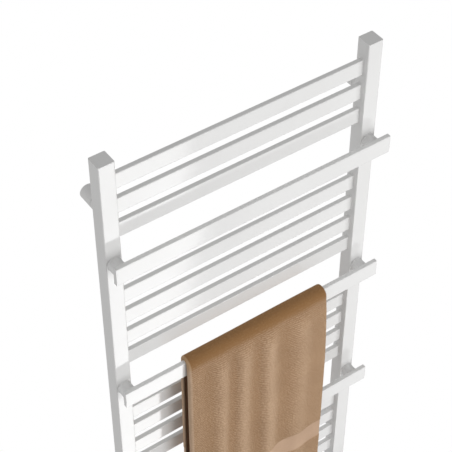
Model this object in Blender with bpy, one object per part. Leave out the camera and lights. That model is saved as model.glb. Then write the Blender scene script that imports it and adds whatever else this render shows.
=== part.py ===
"""A wall-hung electric towel warmer, with one towel folded double over its middle hanger rail.

Two square collectors are joined by flat crossbars in four groups. Three hanger rails stand in front
of the gaps between the groups, on round spacers. Four supports hold the rack off the wall: a pin
behind each collector slides in a wall cup and is clamped there by a set screw. A heating element
screws into the foot of the right collector, with its control head below it.

Metres. X runs to the right, Y towards the wall and Z up. The origin lies on the wall's surface, at
the middle of the four supports.
"""

import math

import bmesh
import bpy
from mathutils import Matrix, Vector

# Clearances. CUT_REACH is how many wall thicknesses a cutter spans, so that it passes right through.
FIT_GAP = 0.0003
CUT_REACH = 3
SUPPORT_SEAM = 0.0005
PIN_END_GAP = 0.0015

# Rack
RACK_WIDTH = 0.550
ROW_PITCH = 0.0523
BAR_GROUPS = (3, 4, 4, 4)
EMPTY_ROWS = 2
SUPPORT_INSET_ROWS = 1
END_MARGIN = 0.0374

# Collectors, which are square tubes
POST_SIDE = 0.030
POST_WALL = 0.0015
POST_EDGE = 0.0020

# Crossbars, which are flat tubes set behind the collectors' front faces
BAR_HEIGHT = 0.032
BAR_DEPTH = 0.0095
BAR_WALL = 0.0012
BAR_EDGE = 0.0015
BAR_INSET = 0.0115
BAR_ENTRY = 0.0010

# Hanger rails, flush with the left collector and reaching past the right one
RAIL_HEIGHT = 0.037
RAIL_DEPTH = 0.009
RAIL_WALL = 0.0012
RAIL_EDGE = 0.0015
RAIL_LEFT_REACH = 0.0
RAIL_RIGHT_REACH = 0.010
SPACER_LENGTH = 0.022
SPACER_DIAMETER = 0.026
SPACER_CHAMFER = 0.0006

# End caps
CAP_PLATE = 0.0015
CAP_SPIGOT = 0.006
FOOT_PLATE = 0.003
THREAD_DIAMETER = 0.020
THREAD_LENGTH = 0.012

# Wall supports
WALL_GAP = 0.039
SUPPORT_DIAMETER = 0.028
COLLAR_LENGTH = 0.008
PIN_DIAMETER = 0.018
CUP_BASE = 0.0035
WALL_SCREW_HOLE = 0.0055
SET_SCREW_DIAMETER = 0.004
SET_SCREW_FROM_WALL = 0.020
SET_SCREW_SOCKET = 0.002

# Air vent, behind the left collector's top
VENT_BELOW_TOP = 0.021
VENT_THREAD = 0.012
VENT_DEPTH = 0.009
VENT_FLANGE_DIAMETER = 0.018
VENT_FLANGE = 0.003
VENT_STEM_DIAMETER = 0.005
VENT_STEM_DEPTH = 0.006
VENT_HEAD_DIAMETER = 0.008
VENT_HEAD = 0.0025
VENT_SLOT = 0.0012

# Blanking plug in the left collector's foot
PLUG_FLANGE_DIAMETER = 0.026
PLUG_FLANGE = 0.003
PLUG_SOCKET = 0.010
PLUG_SOCKET_DEPTH = 0.006

# Heating element in the right collector
ROD_DIAMETER = 0.010
ROD_LENGTH = 0.420
NUT_ACROSS_FLATS = 0.026
NUT_HEIGHT = 0.007
NECK_DIAMETER = 0.012
NECK_INSIDE = 0.005

# Control head
HEAD_WIDTH = 0.036
HEAD_DEPTH = 0.038
HEAD_HEIGHT = 0.078
HEAD_WALL = 0.002
HEAD_EDGE = 0.004
COVER_DEPTH = 0.010
BOARD_THICKNESS = 0.0016
BOARD_HEIGHT = 0.058
BOARD_BEHIND_COVER = 0.002
POT_SIDE = 0.012
SWITCH_SIDE = 0.006
DIAL_DIAMETER = 0.026
DIAL_HEIGHT = 0.011
DIAL_CHAMFER = 0.001
DIAL_STEM = 0.006
DIAL_ABOVE_MIDDLE = 0.012
POINTER_WIDTH = 0.0014
POINTER_DEPTH = 0.0012
POINTER_PLACE = 0.75
BUTTON_DIAMETER = 0.010
BUTTON_PROUD = 0.0022
BUTTON_TRAVEL = 0.0015
BUTTON_RIM = 0.001
BUTTON_BELOW_MIDDLE = 0.016
LENS_DIAMETER = 0.004
LENS_PROUD = 0.0006
LENS_LENGTH = 0.005
LENS_BELOW_MIDDLE = 0.029
GLAND_THREAD = 0.012
GLAND_DIAMETER = 0.017
GLAND_LENGTH = 0.016
GLAND_DOME = 0.004
GLAND_MOUTH = 0.0064
GLAND_MOUTH_DEPTH = 0.0035

# Towel, folded double and hung over the middle rail
TOWEL_WIDTH = 0.308
TOWEL_CENTRE = 0.006
TOWEL_THICKNESS = 0.011
TOWEL_FRONT_DROP = 0.545
TOWEL_REAR_DROP = 0.420

# Facets, and how squarely a face points along an axis to count as facing it
EDGE_SEGMENTS = 2
ROUND_SEGMENTS = 24
SMALL_SEGMENTS = 16
FACING = 0.9
SHARP_ANGLE = math.radians(40)

# Worked out
POST_X = (RACK_WIDTH - POST_SIDE) / 2
POST_Y = -(WALL_GAP + POST_SIDE / 2)
POST_FRONT = -(WALL_GAP + POST_SIDE)
BAR_Y = POST_FRONT + BAR_INSET + BAR_DEPTH / 2
RAIL_BACK = POST_FRONT - SPACER_LENGTH
RAIL_FRONT = RAIL_BACK - RAIL_DEPTH
RAIL_LEFT = -RACK_WIDTH / 2 - RAIL_LEFT_REACH
RAIL_RIGHT = RACK_WIDTH / 2 + RAIL_RIGHT_REACH
LAST_ROW = sum(BAR_GROUPS) + EMPTY_ROWS * (len(BAR_GROUPS) - 1) - 1
POST_HALF_HEIGHT = LAST_ROW / 2 * ROW_PITCH + BAR_HEIGHT / 2 + END_MARGIN
HEAD_TOP = -POST_HALF_HEIGHT - NUT_HEIGHT - 2 * FIT_GAP
HEAD_MIDDLE = HEAD_TOP - HEAD_HEIGHT / 2
HEAD_FRONT = POST_Y - HEAD_DEPTH / 2
BOARD_FRONT = HEAD_FRONT + COVER_DEPTH + BOARD_BEHIND_COVER
TOWARDS_FRONT = (math.pi / 2, 0.0, 0.0)
TOWARDS_WALL = (-math.pi / 2, 0.0, 0.0)
DOWNWARDS = (math.pi, 0.0, 0.0)
SIDES = {"left": -1, "right": 1}


def row_height(row):
    """Height of a row's middle. Row 0 is the top crossbar."""
    return (LAST_ROW / 2 - row) * ROW_PITCH


def bar_rows():
    """Rows that hold a crossbar."""
    rows = []
    row = 0
    for count in BAR_GROUPS:
        rows.extend(range(row, row + count))
        row += count + EMPTY_ROWS
    return rows


def rail_rows():
    """The first empty row below each group but the last, where a hanger rail stands."""
    rows = []
    row = 0
    for count in BAR_GROUPS[:-1]:
        rows.append(row + count)
        row += count + EMPTY_ROWS
    return rows


def rail_middle(row):
    """Height of a rail's middle: its top edge is level with where the row's crossbar would end."""
    return row_height(row) + (BAR_HEIGHT - RAIL_HEIGHT) / 2


# Materials


def finish(name, colour, roughness, metallic=0.0):
    """A plain material, which stands for a finish until the visual model dresses it."""
    material = bpy.data.materials.new(name)
    material.use_nodes = True
    shader = material.node_tree.nodes["Principled BSDF"]
    shader.inputs["Base Color"].default_value = (*colour, 1.0)
    shader.inputs["Roughness"].default_value = roughness
    shader.inputs["Metallic"].default_value = metallic
    return material


def make_finishes():
    """Every finish, by the name of its slot in the record."""
    return {
        "enamel": finish("white_enamel", (0.90, 0.90, 0.90), 0.18),
        "steel": finish("steel", (0.60, 0.60, 0.61), 0.30, 1.0),
        "nickel": finish("nickel", (0.66, 0.64, 0.60), 0.25, 1.0),
        "case": finish("white_plastic", (0.86, 0.86, 0.86), 0.30),
        "key": finish("grey_plastic", (0.55, 0.56, 0.57), 0.40),
        "board": finish("circuit_board", (0.04, 0.20, 0.09), 0.45),
        "lens": finish("lens", (0.85, 0.30, 0.12), 0.10),
        "terry": finish("terry_cloth", (0.42, 0.29, 0.19), 0.95),
    }


# Mesh tools


def add_object(name, mesh_builder, material, parent, location=(0, 0, 0), rotation=(0, 0, 0)):
    """Turns a bmesh into an object under parent, with smooth round faces and sharp edges."""
    mesh = bpy.data.meshes.new(name)
    mesh_builder.to_mesh(mesh)
    mesh_builder.free()
    mesh.shade_smooth()
    mesh.set_sharp_from_angle(angle=SHARP_ANGLE)
    if material:
        mesh.materials.append(material)
    obj = bpy.data.objects.new(name, mesh)
    bpy.context.scene.collection.objects.link(obj)
    obj.parent = parent
    obj.location = location
    obj.rotation_euler = rotation
    return obj


def add_empty(name, parent=None, location=(0, 0, 0)):
    """A frame for the pieces of one body."""
    empty = bpy.data.objects.new(name, None)
    bpy.context.scene.collection.objects.link(empty)
    empty.parent = parent
    empty.location = location
    return empty


def combine(target, other, operation):
    """Gives target a Boolean with a helper object, which isn't a piece of its own."""
    other.hide_render = True
    other.display_type = "WIRE"
    modifier = target.modifiers.new(operation.title(), "BOOLEAN")
    modifier.operation = operation
    modifier.solver = "EXACT"
    modifier.object = other


def hollow(target, wall):
    """Gives an open-ended sheet a wall that grows inwards."""
    modifier = target.modifiers.new("Wall", "SOLIDIFY")
    modifier.thickness = wall
    modifier.offset = -1.0
    modifier.use_even_offset = True


def box_mesh(size):
    """A box about the origin."""
    shape = bmesh.new()
    bmesh.ops.create_cube(shape, size=1.0)
    bmesh.ops.scale(shape, vec=size, verts=shape.verts)
    return shape


def round_long_edges(shape, along, length, radius):
    """Rounds the edges that run the shape's whole length along axis number `along`."""
    long_edges = []
    for edge in shape.edges:
        span = edge.verts[1].co - edge.verts[0].co
        if abs(span[along]) > length / 2:
            long_edges.append(edge)
    bmesh.ops.bevel(
        shape,
        geom=long_edges,
        offset=radius,
        offset_type="OFFSET",
        segments=EDGE_SEGMENTS,
        profile=0.5,
        affect="EDGES",
    )


def beam_mesh(size, along, radius):
    """A straight bar with rounded long edges."""
    shape = box_mesh(size)
    round_long_edges(shape, along, size[along], radius)
    return shape


def tube_mesh(size, along, radius):
    """The outer skin of a straight tube, open at both ends."""
    shape = beam_mesh(size, along, radius)
    ends = [face for face in shape.faces if abs(face.normal[along]) > FACING]
    bmesh.ops.delete(shape, geom=ends, context="FACES_ONLY")
    return shape


def turned_mesh(profile, segments=ROUND_SEGMENTS):
    """A body turned about Z. The profile's (radius, height) points start and end on the axis,
    or make a ring where they start and end off it."""
    shape = bmesh.new()
    points = [shape.verts.new((radius, 0.0, height)) for radius, height in profile]
    edges = [shape.edges.new(pair) for pair in zip(points, points[1:])]
    if profile[0][0] > 0.0:
        edges.append(shape.edges.new((points[-1], points[0])))
    bmesh.ops.spin(
        shape,
        geom=points + edges,
        cent=(0.0, 0.0, 0.0),
        axis=(0.0, 0.0, 1.0),
        angle=math.tau,
        steps=segments,
        use_merge=True,
    )
    bmesh.ops.remove_doubles(shape, verts=shape.verts, dist=1e-6)
    bmesh.ops.recalc_face_normals(shape, faces=shape.faces)
    return shape


def rod_mesh(radius, length, segments=ROUND_SEGMENTS):
    """A plain round or many-sided rod, from the origin up Z."""
    shape = bmesh.new()
    bmesh.ops.create_cone(
        shape,
        cap_ends=True,
        segments=segments,
        radius1=radius,
        radius2=radius,
        depth=length,
        matrix=Matrix.Translation((0.0, 0.0, length / 2)),
    )
    return shape


def hexagon_mesh(across_flats, length):
    """A hexagonal bar, from the origin up Z."""
    return rod_mesh(across_flats / math.sqrt(3), length, segments=6)


def cap_mesh(width, depth, radius, plate, wall, spigot):
    """A tube's end cap: a plate as large as the tube, and a spigot that fits inside it.

    The plate's outer face lies at the origin and the spigot points up Z.
    """
    shape = beam_mesh((width, depth, plate), 2, radius)
    bmesh.ops.translate(shape, vec=(0.0, 0.0, plate / 2), verts=shape.verts)
    inner = [face for face in shape.faces if face.normal.z > FACING]
    inset = wall + FIT_GAP
    bmesh.ops.inset_region(shape, faces=inner, thickness=inset, use_even_offset=True)
    raised = bmesh.ops.extrude_face_region(shape, geom=inner)
    corners = [item for item in raised["geom"] if isinstance(item, bmesh.types.BMVert)]
    bmesh.ops.translate(shape, vec=(0.0, 0.0, spigot + FIT_GAP), verts=corners)
    bmesh.ops.delete(shape, geom=inner, context="FACES")
    bmesh.ops.recalc_face_normals(shape, faces=shape.faces)
    return shape


# Collectors and crossbars


def bar_slots_mesh():
    """Boxes that open a collector's inner wall where the crossbars enter, about the wall's middle."""
    shape = bmesh.new()
    size = Vector((CUT_REACH * POST_WALL, BAR_DEPTH + 2 * FIT_GAP, BAR_HEIGHT + 2 * FIT_GAP))
    for row in bar_rows():
        place = Matrix.Translation((0.0, 0.0, row_height(row)))
        bmesh.ops.create_cube(shape, size=1.0, matrix=place @ Matrix.Diagonal(size).to_4x4())
    return shape


def add_collector(side, finishes, parent):
    """A collector: a square tube with slots in its inner wall for the crossbars."""
    length = 2 * (POST_HALF_HEIGHT - FIT_GAP) - CAP_PLATE - FOOT_PLATE
    middle = (FOOT_PLATE - CAP_PLATE) / 2
    x = SIDES[side] * POST_X
    shape = tube_mesh((POST_SIDE, POST_SIDE, length), 2, POST_EDGE)
    post = add_object(f"{side}_collector", shape, finishes["enamel"], parent, (x, POST_Y, middle))
    hollow(post, POST_WALL)
    inner_wall = x - SIDES[side] * (POST_SIDE - POST_WALL) / 2
    slots = add_object(f"{side}_slots", bar_slots_mesh(), None, parent, (inner_wall, BAR_Y, 0.0))
    combine(post, slots, "DIFFERENCE")
    return post


def add_end_caps(side, finishes, parent):
    """The cap that closes a collector's top, and the foot plate with its threaded hole."""
    x = SIDES[side] * POST_X
    cap = cap_mesh(POST_SIDE, POST_SIDE, POST_EDGE, CAP_PLATE, POST_WALL, CAP_SPIGOT)
    top = (x, POST_Y, POST_HALF_HEIGHT)
    add_object(f"{side}_top_cap", cap, finishes["enamel"], parent, top, DOWNWARDS)
    plate = cap_mesh(POST_SIDE, POST_SIDE, POST_EDGE, FOOT_PLATE, POST_WALL, CAP_SPIGOT)
    foot = (x, POST_Y, -POST_HALF_HEIGHT)
    foot_cap = add_object(f"{side}_foot_cap", plate, finishes["enamel"], parent, foot)
    hole = rod_mesh(THREAD_DIAMETER / 2 + FIT_GAP, CUT_REACH * (FOOT_PLATE + CAP_SPIGOT))
    low = (x, POST_Y, -POST_HALF_HEIGHT - FOOT_PLATE - CAP_SPIGOT)
    combine(foot_cap, add_object(f"{side}_foot_hole", hole, None, parent, low), "DIFFERENCE")


def add_crossbars(finishes, parent):
    """The crossbars, from the top down, each reaching through both collectors' inner walls."""
    length = RACK_WIDTH - 2 * POST_SIDE + 2 * (POST_WALL + BAR_ENTRY)
    for number, row in enumerate(bar_rows(), start=1):
        shape = tube_mesh((length, BAR_DEPTH, BAR_HEIGHT), 0, BAR_EDGE)
        place = (0.0, BAR_Y, row_height(row))
        bar = add_object(f"crossbar_{number:02d}", shape, finishes["enamel"], parent, place)
        hollow(bar, BAR_WALL)


# Hanger rails


def add_rail(level, row, finishes, parent):
    """A hanger rail with its two end caps and the two spacers that carry it."""
    height = rail_middle(row)
    y = (RAIL_BACK + RAIL_FRONT) / 2
    length = RAIL_RIGHT - RAIL_LEFT - 2 * (CAP_PLATE + FIT_GAP)
    shape = tube_mesh((length, RAIL_DEPTH, RAIL_HEIGHT), 0, RAIL_EDGE)
    middle = ((RAIL_LEFT + RAIL_RIGHT) / 2, y, height)
    rail = add_object(f"hanger_rail_{level}", shape, finishes["enamel"], parent, middle)
    hollow(rail, RAIL_WALL)
    ends = {"left": RAIL_LEFT, "right": RAIL_RIGHT}
    for side, sign in SIDES.items():
        cap = cap_mesh(RAIL_HEIGHT, RAIL_DEPTH, RAIL_EDGE, CAP_PLATE, RAIL_WALL, CAP_SPIGOT)
        turn = (0.0, -sign * math.pi / 2, 0.0)
        end = (ends[side], y, height)
        add_object(f"rail_cap_{level}_{side}", cap, finishes["enamel"], parent, end, turn)
        spacer = spacer_mesh()
        place = (sign * POST_X, POST_FRONT - FIT_GAP, height)
        add_object(f"spacer_{level}_{side}", spacer, finishes["enamel"], parent, place, TOWARDS_FRONT)


def spacer_mesh():
    """A round spacer with chamfered ends, from the origin up Z."""
    radius = SPACER_DIAMETER / 2
    length = SPACER_LENGTH - 2 * FIT_GAP
    return turned_mesh(
        [
            (0.0, 0.0),
            (radius - SPACER_CHAMFER, 0.0),
            (radius, SPACER_CHAMFER),
            (radius, length - SPACER_CHAMFER),
            (radius - SPACER_CHAMFER, length),
            (0.0, length),
        ]
    )


# Wall supports


def add_support(level, side, height, finishes, wall, rack):
    """A wall cup with its set screw, and the pin that slides in it."""
    x = SIDES[side] * POST_X
    middle = (x, 0.0, height)
    radius = SUPPORT_DIAMETER / 2
    bore = PIN_DIAMETER / 2 + FIT_GAP
    pin = PIN_DIAMETER / 2
    collar_back = WALL_GAP - FIT_GAP - COLLAR_LENGTH
    mouth = collar_back - SUPPORT_SEAM
    pin_end = CUP_BASE + PIN_END_GAP
    cup_mesh = turned_mesh(
        [
            (WALL_SCREW_HOLE / 2, 0.0),
            (radius, 0.0),
            (radius, mouth),
            (bore, mouth),
            (bore, CUP_BASE),
            (WALL_SCREW_HOLE / 2, CUP_BASE),
        ]
    )
    cup_name = f"wall_cup_{level}_{side}"
    cup = add_object(cup_name, cup_mesh, finishes["enamel"], wall, middle, TOWARDS_FRONT)
    hole_place = (x, -SET_SCREW_FROM_WALL, height)
    hole_mesh = rod_mesh(SET_SCREW_DIAMETER / 2 + FIT_GAP, 2 * radius, SMALL_SEGMENTS)
    hole = add_object(f"set_screw_hole_{level}_{side}", hole_mesh, None, wall, hole_place, DOWNWARDS)
    combine(cup, hole, "DIFFERENCE")
    screw_name = f"set_screw_{level}_{side}"
    add_set_screw(screw_name, pin + FIT_GAP, radius - FIT_GAP, hole_place, finishes, wall)
    pin_mesh = turned_mesh(
        [
            (0.0, pin_end),
            (pin - FIT_GAP, pin_end),
            (pin, pin_end + FIT_GAP),
            (pin, collar_back),
            (radius, collar_back),
            (radius, collar_back + COLLAR_LENGTH),
            (0.0, collar_back + COLLAR_LENGTH),
        ]
    )
    pin_name = f"wall_pin_{level}_{side}"
    add_object(pin_name, pin_mesh, finishes["enamel"], rack, middle, TOWARDS_FRONT)


def add_set_screw(name, inner, outer, place, finishes, parent):
    """A headless screw with a hexagon socket, pointing down from the pin to the cup's surface."""
    shape = rod_mesh(SET_SCREW_DIAMETER / 2, outer - inner, SMALL_SEGMENTS)
    bmesh.ops.translate(shape, vec=(0.0, 0.0, inner), verts=shape.verts)
    screw = add_object(name, shape, finishes["steel"], parent, place, DOWNWARDS)
    socket = hexagon_mesh(SET_SCREW_SOCKET, outer)
    bmesh.ops.translate(socket, vec=(0.0, 0.0, (inner + outer) / 2), verts=socket.verts)
    cutter = add_object(f"{name}_socket", socket, None, parent, place, DOWNWARDS)
    combine(screw, cutter, "DIFFERENCE")


# Vent, plug and heating element


def add_vent(finishes, rack, screw_axis):
    """The air vent behind the left collector: a threaded body, and the screw that opens it."""
    place = (-POST_X, -WALL_GAP, POST_HALF_HEIGHT - VENT_BELOW_TOP)
    thread = VENT_THREAD / 2
    stem = VENT_STEM_DIAMETER / 2
    bore = stem + FIT_GAP
    seat = VENT_FLANGE + FIT_GAP
    body_mesh = turned_mesh(
        [
            (0.0, -VENT_DEPTH),
            (thread, -VENT_DEPTH),
            (thread, FIT_GAP),
            (VENT_FLANGE_DIAMETER / 2, FIT_GAP),
            (VENT_FLANGE_DIAMETER / 2, seat),
            (bore, seat),
            (bore, seat - VENT_STEM_DEPTH - FIT_GAP),
            (0.0, seat - VENT_STEM_DEPTH - FIT_GAP),
        ],
        SMALL_SEGMENTS,
    )
    add_object("vent_body", body_mesh, finishes["nickel"], rack, place, TOWARDS_WALL)
    head_low = seat + FIT_GAP
    screw_mesh = turned_mesh(
        [
            (0.0, seat - VENT_STEM_DEPTH),
            (stem, seat - VENT_STEM_DEPTH),
            (stem, head_low),
            (VENT_HEAD_DIAMETER / 2, head_low),
            (VENT_HEAD_DIAMETER / 2, head_low + VENT_HEAD),
            (0.0, head_low + VENT_HEAD),
        ],
        SMALL_SEGMENTS,
    )
    screw_axis.location = place
    screw = add_object("vent_screw", screw_mesh, finishes["nickel"], screw_axis, rotation=TOWARDS_WALL)
    slot = box_mesh((2 * VENT_HEAD_DIAMETER, VENT_HEAD, VENT_SLOT))
    slot_place = (0.0, head_low + VENT_HEAD, 0.0)
    combine(screw, add_object("vent_screw_slot", slot, None, screw_axis, slot_place), "DIFFERENCE")


def open_vent_hole(post, parent):
    """Opens the collector's rear wall for the vent's thread."""
    hole = rod_mesh(VENT_THREAD / 2 + FIT_GAP, 2 * CUT_REACH * POST_WALL, SMALL_SEGMENTS)
    place = (-POST_X, -WALL_GAP - CUT_REACH * POST_WALL, POST_HALF_HEIGHT - VENT_BELOW_TOP)
    cutter = add_object("vent_hole", hole, None, parent, place, TOWARDS_WALL)
    combine(post, cutter, "DIFFERENCE")


def add_blanking_plug(finishes, rack):
    """The plug that closes the left collector's foot, with a hexagon socket for its key."""
    thread = THREAD_DIAMETER / 2
    flange = PLUG_FLANGE_DIAMETER / 2
    place = (-POST_X, POST_Y, -POST_HALF_HEIGHT - FIT_GAP)
    shape = turned_mesh(
        [
            (0.0, -PLUG_FLANGE),
            (flange, -PLUG_FLANGE),
            (flange, 0.0),
            (thread, 0.0),
            (thread, THREAD_LENGTH),
            (0.0, THREAD_LENGTH),
        ]
    )
    plug = add_object("blanking_plug", shape, finishes["nickel"], rack, place)
    socket = hexagon_mesh(PLUG_SOCKET, 2 * PLUG_SOCKET_DEPTH)
    socket_place = (-POST_X, POST_Y, place[2] - PLUG_FLANGE - PLUG_SOCKET_DEPTH)
    cutter = add_object("blanking_plug_socket", socket, None, rack, socket_place)
    combine(plug, cutter, "DIFFERENCE")


def add_heating_element(finishes, rack):
    """The immersion rod with its thread, its hexagon and the neck that the control head grips."""
    thread = THREAD_DIAMETER / 2
    rod = ROD_DIAMETER / 2
    neck = NECK_DIAMETER / 2
    neck_end = -NUT_HEIGHT - FIT_GAP - HEAD_WALL - NECK_INSIDE
    place = (POST_X, POST_Y, -POST_HALF_HEIGHT - FIT_GAP)
    shape = turned_mesh(
        [
            (0.0, neck_end),
            (neck, neck_end),
            (neck, -NUT_HEIGHT / 2),
            (thread, -NUT_HEIGHT / 2),
            (thread, THREAD_LENGTH),
            (rod, THREAD_LENGTH),
            (rod, ROD_LENGTH - rod / 2),
            (rod / 2, ROD_LENGTH),
            (0.0, ROD_LENGTH),
        ]
    )
    element = add_object("heating_element", shape, finishes["steel"], rack, place)
    nut = hexagon_mesh(NUT_ACROSS_FLATS, NUT_HEIGHT)
    nut_place = (POST_X, POST_Y, place[2] - NUT_HEIGHT)
    combine(element, add_object("element_hexagon", nut, None, rack, nut_place), "UNION")


# Control head


def shell_mesh(depth, open_towards):
    """Half of the head's case. It is open towards -Y or +Y and its walls are HEAD_WALL thick."""
    shape = box_mesh((HEAD_WIDTH, depth, HEAD_HEIGHT))
    round_long_edges(shape, 1, depth, HEAD_EDGE)
    mouth = [face for face in shape.faces if face.normal.y * open_towards > FACING]
    bmesh.ops.delete(shape, geom=mouth, context="FACES_ONLY")
    return shape


def add_round_hole(target, name, diameter, place, turn, parent):
    """Opens a case wall with a round hole, centred on the wall at place."""
    reach = 2 * HEAD_WALL
    shape = rod_mesh(diameter / 2 + FIT_GAP, 2 * reach, SMALL_SEGMENTS)
    bmesh.ops.translate(shape, vec=(0.0, 0.0, -reach), verts=shape.verts)
    combine(target, add_object(name, shape, None, parent, place, turn), "DIFFERENCE")


def add_case(finishes, rack):
    """The rear housing that grips the element's neck, and the front cover with the controls."""
    cover_back = HEAD_FRONT + COVER_DEPTH
    housing_depth = HEAD_DEPTH - COVER_DEPTH - FIT_GAP
    housing_place = (POST_X, cover_back + FIT_GAP + housing_depth / 2, HEAD_MIDDLE)
    housing_mesh = shell_mesh(housing_depth, -1)
    housing = add_object("control_housing", housing_mesh, finishes["case"], rack, housing_place)
    hollow(housing, HEAD_WALL)
    top = (POST_X, POST_Y, HEAD_TOP - HEAD_WALL / 2)
    add_round_hole(housing, "neck_hole", NECK_DIAMETER, top, (0, 0, 0), rack)
    bottom = (POST_X, POST_Y, HEAD_TOP - HEAD_HEIGHT + HEAD_WALL / 2)
    add_round_hole(housing, "gland_hole", GLAND_THREAD, bottom, (0, 0, 0), rack)
    cover_place = (POST_X, HEAD_FRONT + COVER_DEPTH / 2, HEAD_MIDDLE)
    cover_mesh = shell_mesh(COVER_DEPTH, 1)
    cover = add_object("control_cover", cover_mesh, finishes["case"], rack, cover_place)
    hollow(cover, HEAD_WALL)
    holes = {
        "dial_hole": (DIAL_STEM, DIAL_ABOVE_MIDDLE),
        "button_hole": (BUTTON_DIAMETER, -BUTTON_BELOW_MIDDLE),
        "lens_hole": (LENS_DIAMETER, -LENS_BELOW_MIDDLE),
    }
    for name, (diameter, above_middle) in holes.items():
        place = (POST_X, HEAD_FRONT + HEAD_WALL / 2, HEAD_MIDDLE + above_middle)
        add_round_hole(cover, name, diameter, place, TOWARDS_FRONT, rack)


def add_circuit_board(finishes, rack):
    """The board that slides between the housing's walls, with the dial's sensor and the switch."""
    width = HEAD_WIDTH - 2 * (HEAD_WALL + FIT_GAP)
    place = (POST_X, BOARD_FRONT + BOARD_THICKNESS / 2, HEAD_MIDDLE - NECK_INSIDE / 2)
    plate = box_mesh((width, BOARD_THICKNESS, BOARD_HEIGHT))
    board = add_object("circuit_board", plate, finishes["board"], rack, place)
    stem_end = HEAD_FRONT + HEAD_WALL + DIAL_STEM
    button_end = HEAD_FRONT + HEAD_WALL + FIT_GAP + BUTTON_RIM + BUTTON_TRAVEL
    parts = {
        "dial_sensor": (POT_SIDE, stem_end + FIT_GAP, DIAL_ABOVE_MIDDLE),
        "button_switch": (SWITCH_SIDE, button_end + FIT_GAP, -BUTTON_BELOW_MIDDLE),
    }
    for name, (side, front, above_middle) in parts.items():
        depth = BOARD_FRONT + BOARD_THICKNESS / 2 - front
        middle = (POST_X, front + depth / 2, HEAD_MIDDLE + above_middle)
        combine(board, add_object(name, box_mesh((side, depth, side)), None, rack, middle), "UNION")


def add_dial(finishes, axis):
    """The temperature dial, turned about its stem, with a pointer line cut across its rim."""
    axis.location = (POST_X, HEAD_FRONT, HEAD_MIDDLE + DIAL_ABOVE_MIDDLE)
    radius = DIAL_DIAMETER / 2
    face = FIT_GAP + DIAL_HEIGHT
    shape = turned_mesh(
        [
            (0.0, -HEAD_WALL - DIAL_STEM),
            (DIAL_STEM / 2, -HEAD_WALL - DIAL_STEM),
            (DIAL_STEM / 2, FIT_GAP),
            (radius, FIT_GAP),
            (radius, face - DIAL_CHAMFER),
            (radius - DIAL_CHAMFER, face),
            (0.0, face),
        ]
    )
    dial = add_object("control_dial", shape, finishes["key"], axis, rotation=TOWARDS_FRONT)
    pointer = box_mesh((POINTER_WIDTH, 2 * POINTER_DEPTH, radius))
    pointer_place = (0.0, -face, POINTER_PLACE * radius)
    cutter = add_object("dial_pointer_cut", pointer, None, axis, pointer_place)
    combine(dial, cutter, "DIFFERENCE")


def add_button(finishes, axis):
    """The push button, kept in the cover by the rim behind its hole."""
    axis.location = (POST_X, HEAD_FRONT, HEAD_MIDDLE - BUTTON_BELOW_MIDDLE)
    radius = BUTTON_DIAMETER / 2
    rim_front = -HEAD_WALL - FIT_GAP
    shape = turned_mesh(
        [
            (0.0, rim_front - BUTTON_RIM),
            (radius + BUTTON_RIM, rim_front - BUTTON_RIM),
            (radius + BUTTON_RIM, rim_front),
            (radius, rim_front),
            (radius, BUTTON_PROUD),
            (0.0, BUTTON_PROUD),
        ],
        SMALL_SEGMENTS,
    )
    add_object("power_button", shape, finishes["key"], axis, rotation=TOWARDS_FRONT)


def add_lens(finishes, rack):
    """The indicator lamp's lens, pressed into the cover."""
    place = (POST_X, HEAD_FRONT, HEAD_MIDDLE - LENS_BELOW_MIDDLE)
    radius = LENS_DIAMETER / 2
    shape = turned_mesh(
        [
            (0.0, LENS_PROUD - LENS_LENGTH),
            (radius, LENS_PROUD - LENS_LENGTH),
            (radius, 0.0),
            (radius - LENS_PROUD, LENS_PROUD),
            (0.0, LENS_PROUD),
        ],
        SMALL_SEGMENTS,
    )
    add_object("indicator_lens", shape, finishes["lens"], rack, place, TOWARDS_FRONT)


def add_cable_gland(finishes, rack):
    """The gland below the head, with its thread in the housing and its mouth facing down."""
    place = (POST_X, POST_Y, HEAD_TOP - HEAD_HEIGHT)
    thread = GLAND_THREAD / 2
    radius = GLAND_DIAMETER / 2
    mouth = GLAND_MOUTH / 2
    shape = turned_mesh(
        [
            (0.0, -2 * HEAD_WALL),
            (thread, -2 * HEAD_WALL),
            (thread, FIT_GAP),
            (radius, FIT_GAP),
            (radius, GLAND_LENGTH - GLAND_DOME),
            ((radius + mouth) / 2, GLAND_LENGTH),
            (mouth, GLAND_LENGTH),
            (mouth, GLAND_LENGTH - GLAND_MOUTH_DEPTH),
            (0.0, GLAND_LENGTH - GLAND_MOUTH_DEPTH),
        ]
    )
    add_object("cable_gland", shape, finishes["case"], rack, place, DOWNWARDS)


# Towel


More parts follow.
